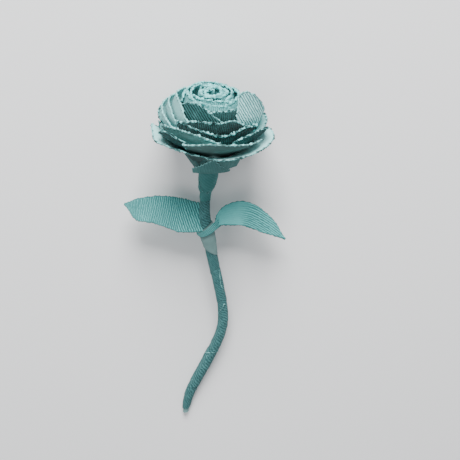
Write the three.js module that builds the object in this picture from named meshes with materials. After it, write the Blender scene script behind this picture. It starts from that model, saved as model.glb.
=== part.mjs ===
// A crepe paper rose on a bent paper stem, lying on its side as it comes to rest.
// Millimetres. The rose is shaped standing up, with X to the right, Y to the back
// and Z up the stem, and is laid down at the end so that Z runs along +Y.

import * as THREE from 'three';
import { mergeVertices } from 'three/addons/utils/BufferGeometryUtils.js';

// Main sizes.
const PAPER = 0.5;             // thickness of one crepe sheet, as modelled
const GAP = 0.3;               // clearance left between neighbouring pieces
const STEM_LENGTH = 160;       // height of the calyx above the stem's cut end
const STEM_BEND = 1.0;         // share of the stem's sideways bends that is formed
const WIRE_D = 1.2;            // wire in the middle of the stem
const CORE_D = 3.6;            // rolled paper round the wire
const WRAP_D = 6.4;            // wrapped stem between the leaves and the flower
const HEAD_SCALE = 1.0;        // size of the flower against its nominal 66 mm width
const NECK_D = 11.4;           // tapered wrap below the calyx, at its top
const LEAF_LENGTH_LEFT = 42;
const LEAF_LENGTH_RIGHT = 40;
const LEAF_WIDTH = 19;
const SEPAL_LENGTH = 16;

// Clearances that follow from the sizes above.
const WIRE_BORE_D = WIRE_D + 2 * GAP;
const WRAP_BORE_D = CORE_D + 2 * GAP;

// Small tools.
const rad = THREE.MathUtils.degToRad;
const lerp = THREE.MathUtils.lerp;

function smooth(x) {
  const c = THREE.MathUtils.clamp(x, 0, 1);
  return c * c * (3 - 2 * c);
}

// A value given at evenly spaced stations, read off smoothly between them.
function stations(list, share) {
  const x = THREE.MathUtils.clamp(share, 0, 1) * (list.length - 1);
  const i = Math.min(Math.floor(x), list.length - 2);
  const f = x - i;
  const a = list[Math.max(i - 1, 0)];
  const b = list[i];
  const c = list[i + 1];
  const d = list[Math.min(i + 2, list.length - 1)];
  const m1 = (c - a) / 2;
  const m2 = (d - b) / 2;
  const f2 = f * f;
  const f3 = f2 * f;
  return b * (2 * f3 - 3 * f2 + 1) + m1 * (f3 - 2 * f2 + f)
    + c * (3 * f2 - 2 * f3) + m2 * (f3 - f2);
}

// Closes a blank whose faces share their corners only by position.
function weld(geometry) {
  const bare = geometry.clone();
  bare.deleteAttribute('normal');
  bare.deleteAttribute('uv');
  return mergeVertices(bare, 1e-5);
}

// Forms a flat sheet blank. The blank's u runs across from -1 to 1, its v up
// from 0 to 1 and its side from -1 (inner face) to 1 (outer face).
function formSheet(columns, rows, form) {
  const blank = weld(new THREE.BoxGeometry(2, 1, 2, columns, rows, 1));
  const pos = blank.attributes.position;
  const out = new THREE.Vector3();
  for (let i = 0; i < pos.count; i += 1) {
    form(pos.getX(i), pos.getY(i) + 0.5, pos.getZ(i), out);
    pos.setXYZ(i, out.x, out.y, out.z);
  }
  return faceOutward(blank);
}

// Turns all faces round when the formed body came out inside out.
function faceOutward(geometry) {
  const pos = geometry.attributes.position;
  const index = geometry.index;
  const a = new THREE.Vector3();
  const b = new THREE.Vector3();
  const c = new THREE.Vector3();
  let volume = 0;
  for (let i = 0; i < index.count; i += 3) {
    a.fromBufferAttribute(pos, index.getX(i));
    b.fromBufferAttribute(pos, index.getX(i + 1));
    c.fromBufferAttribute(pos, index.getX(i + 2));
    volume += a.dot(b.cross(c)) / 6;
  }
  if (volume < 0) {
    for (let i = 0; i < index.count; i += 3) {
      const keep = index.getX(i + 1);
      index.setX(i + 1, index.getX(i + 2));
      index.setX(i + 2, keep);
    }
  }
  return geometry;
}

const rose = new THREE.Group();
rose.name = 'crepe_paper_rose';

function add(name, geometry, color, roughness = 0.95, metalness = 0) {
  const material = new THREE.MeshStandardMaterial({ color, roughness, metalness });
  material.name = name + '_material';
  const mesh = new THREE.Mesh(geometry, material);
  mesh.name = name;
  rose.add(mesh);
  return mesh;
}

// The stem's line: sideways place and height share of its middle, from the cut
// end up to the calyx. It leans to the front a little just below the flower.
const CALYX_Z = 8.5 + STEM_LENGTH;
const STEM_LINE = new THREE.CatmullRomCurve3([
  [-27.5, 0], [-26.6, 0.045], [-24.6, 0.09], [-21.6, 0.135], [-17.0, 0.195],
  [-12.4, 0.258], [-8.2, 0.315], [-5.2, 0.37], [-4.1, 0.43], [-4.7, 0.49],
  [-6.6, 0.56], [-8.6, 0.625], [-10.5, 0.685], [-12.1, 0.74], [-13.5, 0.79],
  [-14.2, 0.845], [-13.8, 0.91], [-12.6, 0.965], [-11.5, 1.02], [-10.9, 1.07],
  [-10.2, 1.12],
].map(([x, share]) => new THREE.Vector3(
  -12 + (x + 12) * STEM_BEND,
  -14 * Math.max(0, share - 0.84) ** 1.5,
  8.5 + share * STEM_LENGTH,
)), false, 'centripetal');
const STEM_SAMPLES = 400;
const STEM_POINTS = STEM_LINE.getPoints(STEM_SAMPLES);

// Middle and direction of the stem at a height.
function stemAt(height) {
  let i = STEM_POINTS.findIndex((p) => p.z > height);
  i = i < 0 ? STEM_SAMPLES : Math.max(i, 1);
  const low = STEM_POINTS[i - 1];
  const high = STEM_POINTS[i];
  const middle = low.clone().lerp(high, (height - low.z) / (high.z - low.z));
  const t = i / STEM_SAMPLES;
  return { middle, along: STEM_LINE.getTangent(t) };
}

// The strip is wound at a slant, so each length ends on a slanted line. SLANTS
// gives, at shares of the height, the rise per sideways millimetre.
const SLANTS = [[0, 0.3], [0.12, 0.6], [0.29, -0.45], [0.5, 0.6],
  [0.7, -0.57], [0.8, 0.66], [0.9, 0.3], [1.02, 0], [2, 0]];

function slantAt(share) {
  const i = Math.max(1, SLANTS.findIndex(([s]) => s >= share));
  const [s0, a] = SLANTS[i - 1];
  const [s1, b] = SLANTS[i];
  return lerp(a, b, Math.max(0, share - s0) / (s1 - s0));
}

// Turns a closed ring profile, as [radius, height] pairs, and bends it along the stem.
function sleeve(profile, around = 18, rows = 5) {
  const fine = [];
  profile.forEach((from, i) => {
    const to = profile[(i + 1) % profile.length];
    const parts = Math.max(1, Math.round(Math.abs(to[1] - from[1]) / rows));
    for (let k = 0; k < parts; k += 1) {
      fine.push(new THREE.Vector2(
        lerp(from[0], to[0], k / parts),
        lerp(from[1], to[1], k / parts),
      ));
    }
  });
  fine.push(fine[0].clone());
  const turned = weld(new THREE.LatheGeometry(fine, around));
  const pos = turned.attributes.position;
  for (let i = 0; i < pos.count; i += 1) {
    const slant = slantAt((pos.getY(i) - 8.5) / STEM_LENGTH);
    const { middle, along } = stemAt(pos.getY(i) + slant * pos.getX(i));
    const side = new THREE.Vector3(along.z, 0, -along.x).normalize();
    const back = new THREE.Vector3().crossVectors(along, side);
    middle.addScaledVector(side, pos.getX(i)).addScaledVector(back, pos.getZ(i));
    pos.setXYZ(i, middle.x, middle.y, middle.z);
  }
  return faceOutward(turned);
}

// The flower's own frame stands on the calyx and leans to the front and right.
const HEAD_LEAN_FRONT = 8;
const HEAD_LEAN_SIDE = 3;
const headUp = new THREE.Vector3(
  Math.sin(rad(HEAD_LEAN_SIDE)),
  -Math.sin(rad(HEAD_LEAN_FRONT)),
  0,
);
headUp.z = Math.sqrt(1 - headUp.lengthSq());
const headRight = new THREE.Vector3(0, 1, 0).cross(headUp).normalize();
const headBack = new THREE.Vector3().crossVectors(headUp, headRight);
const headBase = stemAt(CALYX_Z).middle;

// Places a point given by radius, azimuth and height in the flower.
function inHead(radius, azimuth, height, out) {
  return out.copy(headBase)
    .addScaledVector(headRight, radius * Math.cos(azimuth))
    .addScaledVector(headBack, radius * Math.sin(azimuth))
    .addScaledVector(headUp, height);
}

// Side view of a petal: four pull points, each as radius and height for the
// innermost shell, the middle shell and the outermost shell. A shell number
// from 0 to 1 picks the side view between them, and shells never cross.
const PULL = [
  { r: [1.6, 4.2, 7.6], z: [10, 7.5, 5.6] },
  { r: [1.8, 8.5, 13.2], z: [20, 20, 19.5] },
  { r: [2.0, 22.5, 28], z: [34, 32.5, 26] },
  { r: [2.2, 18, 35.5], z: [48, 45, 28.5] },
];

function shellMix(v, s) {
  return v[0] * (1 - s) * (1 - 2 * s) + v[1] * 4 * s * (1 - s) + v[2] * s * (2 * s - 1);
}

function sideView(s, t) {
  const k = Math.min(t, 1);
  const w = [(1 - k) ** 3, 3 * k * (1 - k) ** 2, 3 * k * k * (1 - k), k ** 3];
  // Above the last pull point the sheet goes on straight.
  const past = 3 * Math.max(0, t - 1);
  w[2] -= past;
  w[3] += past;
  let r = 0;
  let z = 0;
  PULL.forEach((p, i) => {
    r += w[i] * shellMix(p.r, s);
    z += w[i] * shellMix(p.z, s);
  });
  return [r * HEAD_SCALE, z * HEAD_SCALE];
}

// Distance across the shells per shell number, square to the side view.
function shellStep(s, t) {
  const e = 1e-3;
  const [r, z] = sideView(s, t);
  const [rt, zt] = sideView(s, t + e);
  const [rs, zs] = sideView(s + e, t);
  const along = Math.hypot(rt - r, zt - z);
  return Math.abs((rs - r) * (zt - z) - (zs - z) * (rt - r)) / along / e;
}

// One petal. at and half are degrees round the flower, shell runs from the
// petal's clockwise edge to its other edge, rim gives the height of the top
// edge at even stations, foot is how much of the width is left at the bottom.
// flare moves the upper part to another shell.
function petal(name, { at, half, shell, rim, foot = 0.5, low = 0.02, flare = 0 },
  color, columns = 10, rows = 6) {
  add(name, formSheet(columns, rows, (u, v, side, out) => {
    const top = stations(rim, (u + 1) / 2);
    const t = lerp(low, top, v);
    const width = lerp(foot, 1, smooth(v * 1.5));
    const azimuth = rad(at + u * half * width);
    let s = lerp(shell[0], shell[1], (u + 1) / 2);
    s += flare * smooth((t - 0.15) / 0.25);
    s += (side * PAPER) / 2 / shellStep(s, t);
    const [r, z] = sideView(s, t);
    inHead(r, azimuth, z, out);
  }), color);
}

// Colours of the crepe paper: ribbed face, paler smooth face and shaded folds.
const TEAL = 0x7bb5b3;
const PALE = 0xa5c9c7;
const DEEP = 0x4f8583;

// The stem, from the inside out.
const FOOT_Z = 8.5;
const headFloor = CALYX_Z;
add('stem_wire', sleeve([
  [0, FOOT_Z + 0.4], [WIRE_D / 2, FOOT_Z + 0.4],
  [WIRE_D / 2, headFloor + 10], [0, headFloor + 10],
], 8, 6), 0x8d9296, 0.4, 1);
add('stem_core', sleeve([
  [WIRE_BORE_D / 2, FOOT_Z], [CORE_D / 2, FOOT_Z],
  [CORE_D / 2, headFloor + 11], [WIRE_BORE_D / 2, headFloor + 11],
], 14, 6), TEAL);

// Wrapped strips follow one another up the stem, each with a plain cut end.
const BORE_R = WRAP_BORE_D / 2;
const WRAP_R = WRAP_D / 2;
const share = (k) => FOOT_Z + k * STEM_LENGTH;
const WRAPS = {
  foot_wrap: [[BORE_R, 0.022], [2.4, 0.022], [WRAP_R - 0.3, 0.075], [WRAP_R - 0.1, 0.12],
    [BORE_R, 0.12]],
  lower_wrap: [[BORE_R, 0.122], [WRAP_R, 0.122], [WRAP_R + 0.15, 0.2], [WRAP_R + 0.1, 0.292],
    [BORE_R, 0.292]],
  middle_wrap: [[BORE_R, 0.294], [WRAP_R, 0.294], [WRAP_R - 0.1, 0.4], [WRAP_R - 0.3, 0.5],
    [BORE_R, 0.5]],
  joint_wrap: [[BORE_R, 0.502], [WRAP_R - 0.25, 0.502], [WRAP_R - 0.15, 0.6],
    [WRAP_R, 0.70], [BORE_R, 0.70]],
  leaf_band: [[BORE_R, 0.702], [WRAP_R + 0.3, 0.702], [WRAP_R + 1.2, 0.75], [WRAP_R + 1.3, 0.785],
    [WRAP_R + 0.9, 0.80], [BORE_R, 0.80]],
  upper_wrap: [[BORE_R, 0.802], [WRAP_R, 0.802], [WRAP_R - 0.1, 0.9], [BORE_R, 0.9]],
};
Object.entries(WRAPS).forEach(([name, profile]) => {
  const color = name === 'leaf_band' ? PALE : TEAL;
  add(name, sleeve(profile.map(([r, k]) => [r, share(k)]), 14, 6), color);
});
const NECK_R = NECK_D / 2;
add('neck_wrap', sleeve([
  [BORE_R, share(0.902)], [WRAP_R + 0.4, share(0.902)], [WRAP_R + 1.3, share(0.935)],
  [NECK_R - 0.2, share(0.98)], [NECK_R, share(1.022)], [BORE_R, share(1.022)],
], 18, 5), DEEP);

// The rolled middle: one strip wound round from the centre outwards.
const ROLL_TURNS = 2.2;
const ROLL_START = 65;
add('centre_roll', formSheet(44, 4, (u, v, side, out) => {
  const run = (u + 1) / 2;
  const t = lerp(0.3, 1.02 + 0.015 * Math.sin(run * 19), v);
  let s = lerp(0.012, 0.195, run);
  s += (side * PAPER * 0.6) / shellStep(s, t);
  const [r, z] = sideView(s, t);
  inHead(r, rad(ROLL_START + run * ROLL_TURNS * 360), z, out);
}), PALE);

// Petals from the middle outwards. Azimuths: -90 is the front, 0 the right.
const PETALS = {
  inner_petal_1: {
    at: -95, half: 72, shell: [0.25, 0.315], rim: [1, 1.03, 1.04, 1.03, 1], low: 0.2,
  },
  inner_petal_2: {
    at: 25, half: 72, shell: [0.25, 0.315], rim: [1, 1.03, 1.04, 1.03, 1], low: 0.2,
  },
  inner_petal_3: {
    at: 145, half: 72, shell: [0.25, 0.315], rim: [1, 1.03, 1.04, 1.03, 1], low: 0.2,
  },
  ring_petal_1: {
    at: -122, half: 70, shell: [0.365, 0.41], rim: [1.02, 1.06, 1.05, 1.04, 1.02], low: 0.12,
  },
  ring_petal_2: {
    at: -4, half: 68, shell: [0.365, 0.41], rim: [1.0, 1.03, 1.04, 1.04, 1.0], low: 0.12,
  },
  ring_petal_3: {
    at: 116, half: 68, shell: [0.365, 0.41], rim: [1.0, 1.04, 1.05, 1.04, 1.0], low: 0.12,
  },
  wrap_petal_front: {
    at: -60, half: 52, shell: [0.47, 0.48], rim: [1.0, 1.03, 1.02, 1.02, 1.0], low: 0.1,
  },
  wrap_petal_left_front: {
    at: -112, half: 46, shell: [0.53, 0.54], rim: [1.0, 1.12, 1.16, 1.05, 0.89],
  },
  wrap_petal_left: { at: 180, half: 63, shell: [0.51, 0.61], rim: [0.95, 1.05, 1.12, 1.15, 0.93] },
  wrap_petal_right: {
    at: -5, half: 42, shell: [0.53, 0.86], rim: [0.95, 1.24, 1.33, 1.14, 0.89], foot: 0.4,
  },
  wrap_petal_back: { at: 78, half: 36, shell: [0.50, 0.50], rim: [0.91, 1.02, 1.04, 1.02, 0.89] },
  mid_petal_front: {
    at: -84, half: 51, shell: [0.655, 0.635], rim: [0.93, 1.05, 1.04, 1.04, 0.86],
  },
  mid_petal_left: { at: 172, half: 50, shell: [0.64, 0.665], rim: [0.91, 1.0, 1.07, 1.1, 0.94] },
  mid_petal_back: { at: 92, half: 42, shell: [0.62, 0.57], rim: [0.88, 1.0, 1.03, 1.0, 0.89] },
  full_petal_front: { at: -74, half: 57, shell: [0.74, 0.72], rim: [1.11, 1.04, 0.93, 1.0, 0.88] },
  full_petal_left: { at: -180, half: 44, shell: [0.725, 0.75], rim: [0.88, 1.03, 1.06, 1.04, 0.94] },
  full_petal_back: { at: 90, half: 41, shell: [0.71, 0.73], rim: [0.88, 1.0, 1.03, 1.0, 0.88] },
  full_petal_left_front: {
    at: -117, half: 38, shell: [0.81, 0.82], rim: [0.97, 1.1, 1.15, 1.11, 0.93],
  },
  full_petal_right: { at: -12, half: 51, shell: [0.81, 0.935], rim: [0.93, 1.07, 1.12, 1.0, 0.86] },
  outer_petal_front: {
    at: -71, half: 42, shell: [0.91, 0.905], rim: [1.14, 1.37, 1.28, 1.08, 0.89], foot: 0.35,
  },
  outer_petal_left: {
    at: -148, half: 38, shell: [0.885, 0.885], rim: [0.77, 0.94, 1.16, 1.2, 1.0], foot: 0.35,
  },
  outer_petal_back_left: {
    at: 148, half: 34, shell: [0.835, 0.81], rim: [0.75, 0.87, 0.93, 0.97, 0.87], foot: 0.35,
  },
  outer_petal_back_right: {
    at: 82, half: 39, shell: [0.91, 0.90], rim: [0.86, 0.92, 0.83, 0.79, 0.74], foot: 0.35,
  },
  guard_petal_left: {
    at: -136, half: 48, shell: [0.98, 1.0], rim: [0.86, 0.9, 1.04, 1.14, 1.0], foot: 0.3,
  },
  guard_petal_right: {
    at: -38, half: 47, shell: [1.0, 1.0], rim: [1.0, 0.95, 0.93, 0.96, 0.88], foot: 0.3,
  },
  guard_petal_back_left: {
    at: 124, half: 34, shell: [0.99, 1.0], rim: [0.61, 0.89, 1.0, 0.89, 0.73], foot: 0.3,
  },
  guard_petal_back_right: {
    at: 56, half: 33, shell: [1.0, 1.0], rim: [0.73, 0.89, 1.0, 0.88, 0.6], foot: 0.3,
  },
};
Object.entries(PETALS).forEach(([name, plan], i) => {
  petal(name, plan, i < 6 ? PALE : TEAL);
});

// Five sepals close the flower from below. The front one is a broad triangle that
// overlaps its two neighbours, the others are smaller.
const SEPAL_TURN = -92;
for (let i = 0; i < 5; i += 1) {
  const front = i === 0;
  const reach = SEPAL_LENGTH / 16;
  const rim = front ? [0.09, 0.27, 0.48, 0.27, 0.09] : [0.12, 0.36, 0.5, 0.36, 0.12];
  petal('sepal_' + (i + 1), {
    at: SEPAL_TURN + i * 72,
    half: front ? 60 : 34,
    shell: front ? [1.34, 1.29] : [1.12, 1.17],
    rim: rim.map((t) => t * reach),
    foot: 0.95,
    low: front ? 0.04 : -0.02,
    flare: front ? -0.2 : 0,
  }, DEEP, 10, 4);
}

// A leaf: a narrow sheet on a curved middle line, wide in the middle, with a
// pointed tip and a cut root that stands against the stem.
function leaf(name, { line, width, tilt, widths, cup }, columns = 6, rows = 12) {
  const middle = new THREE.CatmullRomCurve3(line.map((p) => new THREE.Vector3(...p)));
  const leanBack = stations.bind(null, tilt);
  add(name, formSheet(columns, rows, (u, v, side, out) => {
    const along = middle.getTangent(v);
    const lean = rad(leanBack(v));
    const across = new THREE.Vector3(0, Math.cos(lean), Math.sin(lean));
    across.addScaledVector(along, -across.dot(along)).normalize();
    const face = new THREE.Vector3().crossVectors(along, across);
    const half = (width / 2) * stations(widths, v);
    middle.getPoint(v, out);
    out.addScaledVector(across, u * half);
    out.addScaledVector(face, cup * (1 - u * u) * half * 0.2 + (side * PAPER) / 2);
  }), TEAL);
}
const LEAF_Z = share(0.79);
const leafStart = stemAt(LEAF_Z).middle;
const ROOT = WRAP_R + 1.3 + GAP;
leaf('leaf_left', {
  line: [[0, 1.5, 6], [-0.28, 1.5, 7.5], [-0.55, 1.5, 10], [-0.8, 1, 12.5], [-1, 0, 15]].map(
    ([k, y, z]) => [leafStart.x - ROOT + 1.1 + k * LEAF_LENGTH_LEFT, y, LEAF_Z + z],
  ),
  width: LEAF_WIDTH,
  tilt: [50, 50, 48, 45, 40],
  widths: [0.84, 1.02, 1.02, 0.84, 0.5, 0.05],
  cup: 0.5,
});
leaf('leaf_right', {
  line: [[0, 0, 1], [0.2, 0, 5.5], [0.5, -1, 7], [0.8, -2, -0.5], [1, -3, -8]].map(
    ([k, y, z]) => [leafStart.x + ROOT + k * LEAF_LENGTH_RIGHT, y, LEAF_Z + z],
  ),
  width: LEAF_WIDTH,
  tilt: [50, 50, 50, 48, 45],
  widths: [0.15, 0.62, 0.9, 0.85, 0.5, 0.04],
  cup: 0.5,
});

// Lays the rose on its back and lets it settle on three points: the stem's cut
// end and the lowest petal edge on either side of the flower.
rose.rotation.x = rad(-90);
rose.updateMatrixWorld(true);
const corners = [];
rose.traverse((mesh) => {
  if (mesh.isMesh) {
    const pos = mesh.geometry.attributes.position;
    for (let i = 0; i < pos.count; i += 1) {
      corners.push(new THREE.Vector3().fromBufferAttribute(pos, i));
    }
  }
});
const UP = new THREE.Vector3(0, 0, 1);
const headMiddle = headBase.x;
const groups = [
  corners.filter((p) => p.z < STEM_LENGTH / 3),
  corners.filter((p) => p.z > CALYX_Z && p.x < headMiddle),
  corners.filter((p) => p.z > CALYX_Z && p.x > headMiddle),
];
for (let round = 0; round < 8; round += 1) {
  const [foot, left, right] = groups.map((group) => {
    const world = group.map((p) => p.clone().applyQuaternion(rose.quaternion));
    return world.reduce((low, p) => (p.z < low.z ? p : low));
  });
  const normal = left.sub(foot).cross(right.sub(foot)).normalize();
  if (normal.z < 0) {
    normal.negate();
  }
  rose.quaternion.premultiply(new THREE.Quaternion().setFromUnitVectors(normal, UP));
}
rose.updateMatrixWorld(true);
const laid = new THREE.Box3().setFromObject(rose, true);
rose.position.set(
  -(laid.min.x + laid.max.x) / 2,
  -(laid.min.y + laid.max.y) / 2,
  -laid.min.z,
);
rose.updateMatrixWorld(true);

export default rose;
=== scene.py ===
# %% [markdown]
# # A crepe paper rose
# The rose is rolled from ribbed crepe paper and lies on its back on a pale floor.

# %% Load the frame
import math
import bmesh
import bpy
from mathutils import Matrix, Vector, noise


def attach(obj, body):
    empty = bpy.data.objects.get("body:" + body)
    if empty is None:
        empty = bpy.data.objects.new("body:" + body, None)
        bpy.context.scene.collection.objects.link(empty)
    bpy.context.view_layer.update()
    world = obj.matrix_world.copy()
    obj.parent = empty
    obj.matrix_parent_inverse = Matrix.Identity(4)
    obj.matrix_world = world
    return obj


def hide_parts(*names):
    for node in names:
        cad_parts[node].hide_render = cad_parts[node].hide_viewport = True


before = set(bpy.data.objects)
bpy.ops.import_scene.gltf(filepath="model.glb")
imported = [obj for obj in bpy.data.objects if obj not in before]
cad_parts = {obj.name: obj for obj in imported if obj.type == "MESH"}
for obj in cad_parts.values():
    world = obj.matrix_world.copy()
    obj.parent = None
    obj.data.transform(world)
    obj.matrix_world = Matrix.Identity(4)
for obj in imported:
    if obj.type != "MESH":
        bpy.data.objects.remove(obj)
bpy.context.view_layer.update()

# %% [markdown]
# ## Two ways of standing
# A rose is easiest to shape standing up, with X to the right, Y to the back and Z
# up the stem, in millimetres. On the floor it lies turned by a bit more than a
# right angle, held by its cut end and two back petals. One matrix carries every
# point from the standing rose to the lying one, and from millimetres to metres.

# %% From standing to lying
MM = 0.001
LAID = Matrix((
    (0.999978, 0.006626, -0.000402, 13.921347),
    (-0.000437, 0.126091, 0.992019, -112.930334),
    (0.006624, -0.991997, 0.126091, 1.044845),
    (0, 0, 0, 1),
))


def lay(point):
    """A point of the standing rose, in millimetres, as it lies, in metres."""
    return (LAID @ point) * MM


def lay_direction(vector):
    return LAID.to_3x3() @ vector


print("stem end lies at", tuple(round(c, 4) for c in lay(Vector((-27.5, 0, 8.5)))))

# %% [markdown]
# ## The camera
# The photograph looks down on the rose from a little over half a metre away with a
# long lens. The camera is placed round the standing rose and carried over with the
# same matrix, so it looks down on the lying rose from the flower's side.

# %% Camera
CAMERA_AT = Vector((0, -495, 373))
CAMERA_DOWN = math.radians(25.8)
ahead = Vector((0, math.cos(CAMERA_DOWN), -math.sin(CAMERA_DOWN)))
camera_data = bpy.data.cameras.new("camera")
camera_data.lens = 75.9
camera_data.sensor_width = 36
camera = bpy.data.objects.new("camera", camera_data)
bpy.context.collection.objects.link(camera)
right = lay_direction(Vector((1, 0, 0)))
forward = lay_direction(ahead)
up = right.cross(forward)
turn = Matrix((right, up, -forward)).transposed().to_4x4()
camera.matrix_world = Matrix.Translation(lay(CAMERA_AT)) @ turn
bpy.context.scene.camera = camera
print("camera at", tuple(round(c, 3) for c in camera.location))

# %% [markdown]
# ## Sky and lights
# One large soft light stands beyond the flower's top, where the light comes from in
# the photograph, so the torn rims shine and the undersides stay dark. A second,
# weaker light near the camera keeps the shade open, and the sky is a pale grey. Two
# area lights are easier to place than a sky with a sun, and their edges stay soft.

# %% Sky and lights
world = bpy.data.worlds.new("studio")
world.use_nodes = True
world.node_tree.nodes["Background"].inputs["Color"].default_value = (0.93, 0.96, 1.0, 1)
world.node_tree.nodes["Background"].inputs["Strength"].default_value = 0.42
bpy.context.scene.world = world


def soft_light(name, place, aim, size, watts):
    lamp = bpy.data.lights.new(name, "AREA")
    lamp.size = size
    lamp.energy = watts
    holder = bpy.data.objects.new(name, lamp)
    holder.location = place
    holder.rotation_euler = (Vector(aim) - Vector(place)).to_track_quat("-Z", "Y").to_euler()
    bpy.context.collection.objects.link(holder)
    print(name, "gives", watts, "W from", place)


soft_light("top_light", (0.02, 0.95, 0.66), (0, 0.05, 0.03), 0.55, 27)
soft_light("fill_light", (-0.35, -0.1, 0.95), (0, 0, 0.02), 0.8, 3.5)

# %% [markdown]
# ## Floor
# The rose lies on a plain, pale, matt floor. One face of a bmesh grid is enough for
# it.

# %% Floor
FLOOR_HALF = 3
floor_mesh = bmesh.new()
bmesh.ops.create_grid(floor_mesh, x_segments=1, y_segments=1, size=FLOOR_HALF)
floor_data = bpy.data.meshes.new("floor")
floor_mesh.to_mesh(floor_data)
floor_mesh.free()
floor = bpy.data.objects.new("floor", floor_data)
bpy.context.collection.objects.link(floor)
paint = bpy.data.materials.new("floor_paint")
paint.use_nodes = True
shader = paint.node_tree.nodes["Principled BSDF"]
shader.inputs["Base Color"].default_value = (0.86, 0.863, 0.868, 1)
shader.inputs["Roughness"].default_value = 0.75
floor_data.materials.append(paint)
print("floor half width in metres:", FLOOR_HALF)

# %% [markdown]
# ## Helpers for shader nodes
# All the papers of the rose share two patterns, so each pattern is a node group
# with named inputs, built once. Four small helpers keep the groups short: one
# starts a group, and the others add a sum, a noise or a mix of two colours.

# %% Shader helpers
RIB_PITCH = 1.15 * MM


def group(name, inputs, outputs):
    tree = bpy.data.node_groups.new(name, "ShaderNodeTree")
    for label, kind, value in inputs:
        socket = tree.interface.new_socket(name=label, in_out="INPUT", socket_type=kind)
        socket.default_value = value
    for label, kind in outputs:
        tree.interface.new_socket(name=label, in_out="OUTPUT", socket_type=kind)
    return tree, tree.nodes.new("NodeGroupInput"), tree.nodes.new("NodeGroupOutput")


def maths(tree, kind, a, b=None, clamp=False):
    node = tree.nodes.new("ShaderNodeMath")
    node.operation = kind
    node.use_clamp = clamp
    for slot, value in enumerate((a, b)):
        if value is None:
            continue
        if isinstance(value, (int, float)):
            node.inputs[slot].default_value = value
        else:
            tree.links.new(value, node.inputs[slot])
    return node.outputs[0]


def noise_node(tree, vector, scale, detail=2.0, rough=0.5):
    node = tree.nodes.new("ShaderNodeTexNoise")
    node.inputs["Scale"].default_value = scale
    node.inputs["Detail"].default_value = detail
    node.inputs["Roughness"].default_value = rough
    tree.links.new(vector, node.inputs["Vector"])
    return node.outputs["Fac"]


def mix_colour(tree, factor, a, b, kind="MIX"):
    node = tree.nodes.new("ShaderNodeMix")
    node.data_type = "RGBA"
    node.blend_type = kind
    node.clamp_factor = True
    for slot, value in ((0, factor), (6, a), (7, b)):
        if hasattr(value, "is_output"):
            tree.links.new(value, node.inputs[slot])
        else:
            node.inputs[slot].default_value = (*value, 1)[:4] if slot else value
    return node.outputs[2]


print("ribs are", RIB_PITCH / MM, "mm apart on most of the paper")

# %% [markdown]
# ## The paper's ribs
# Crepe paper is pressed into fine parallel ribs a little over a millimetre apart.
# Each sheet carries a map named *paper*, in tenths of a metre, whose first
# direction runs across the ribs. The group below turns it into a height: a sine
# for the ribs, a little noise so that no rib is quite straight, and fine crinkle.
# Ribs this fine would cost millions of faces, so on most pieces they are relief.

# %% The rib pattern group
METRES_PER_MAP_UNIT = 0.1
ribs, ribs_in, ribs_out = group(
    "crepe_ribs",
    [("Ribs per metre", "NodeSocketFloat", 1 / RIB_PITCH), ("Waviness", "NodeSocketFloat", 0.22)],
    [("Height", "NodeSocketFloat"), ("Crinkle", "NodeSocketFloat")],
)
sheet_map = ribs.nodes.new("ShaderNodeUVMap")
sheet_map.uv_map = "paper"
apart = ribs.nodes.new("ShaderNodeSeparateXYZ")
ribs.links.new(sheet_map.outputs["UV"], apart.inputs[0])
drift = noise_node(ribs, sheet_map.outputs["UV"], 60, 2)
across = maths(ribs, "MULTIPLY", apart.outputs[0], METRES_PER_MAP_UNIT)
turns = maths(ribs, "MULTIPLY", across, ribs_in.outputs["Ribs per metre"])
sway = maths(ribs, "MULTIPLY", maths(ribs, "SUBTRACT", drift, 0.5), ribs_in.outputs["Waviness"])
swayed = maths(ribs, "ADD", turns, maths(ribs, "MULTIPLY", sway, 4.0))
phase = maths(ribs, "MULTIPLY", swayed, 2 * math.pi)
wave = maths(ribs, "MULTIPLY", maths(ribs, "ADD", maths(ribs, "SINE", phase), 1.0), 0.5)
crinkle = noise_node(ribs, sheet_map.outputs["UV"], 260, 3, 0.6)
ribs.links.new(maths(ribs, "POWER", wave, 0.8), ribs_out.inputs["Height"])
ribs.links.new(crinkle, ribs_out.inputs["Crinkle"])
print("rib group has", len(ribs.nodes), "nodes")

# %% [markdown]
# ## The paper's colour
# The grooves between the ribs are painted darker than the crests, as painted shade,
# patches of the paper rub pale at random, and torn edges are almost white. A second
# group mixes these from the rib height, the crinkle, and two values that every sheet
# carries: *rim* is 1 on its torn edge and 0 away from it, and *flattened* is 1 where
# a thumb has pressed the ribs flat.

# %% The paper tone group
tone, tone_in, tone_out = group(
    "paper_tone",
    [
        ("Dye", "NodeSocketColor", (0.2, 0.43, 0.42, 1)),
        ("Groove shade", "NodeSocketColor", (0.07, 0.2, 0.2, 1)),
        ("Torn edge", "NodeSocketColor", (0.66, 0.85, 0.84, 1)),
        ("Rib strength", "NodeSocketFloat", 0.6),
        ("Height", "NodeSocketFloat", 0.5),
        ("Crinkle", "NodeSocketFloat", 0.5),
    ],
    [("Color", "NodeSocketColor"), ("Roughness", "NodeSocketFloat"), ("Relief", "NodeSocketFloat")],
)
rim_value = tone.nodes.new("ShaderNodeAttribute")
rim_value.attribute_name = "rim"
sheet_map = tone.nodes.new("ShaderNodeUVMap")
sheet_map.uv_map = "paper"
patch = noise_node(tone, sheet_map.outputs["UV"], 25, 3)
flattened = tone.nodes.new("ShaderNodeAttribute")
flattened.attribute_name = "flattened"
strength = maths(tone, "MULTIPLY", tone_in.outputs["Rib strength"],
                 maths(tone, "SUBTRACT", 1.0, flattened.outputs["Fac"]))
# Painted shade: the grooves between the ribs are darkened towards the groove colour.
groove_shading = maths(tone, "MULTIPLY", maths(tone, "SUBTRACT", 1.0, tone_in.outputs["Height"]), strength)
dye_and_groove_shade = mix_colour(tone, groove_shading, tone_in.outputs["Dye"], tone_in.outputs["Groove shade"])
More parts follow.
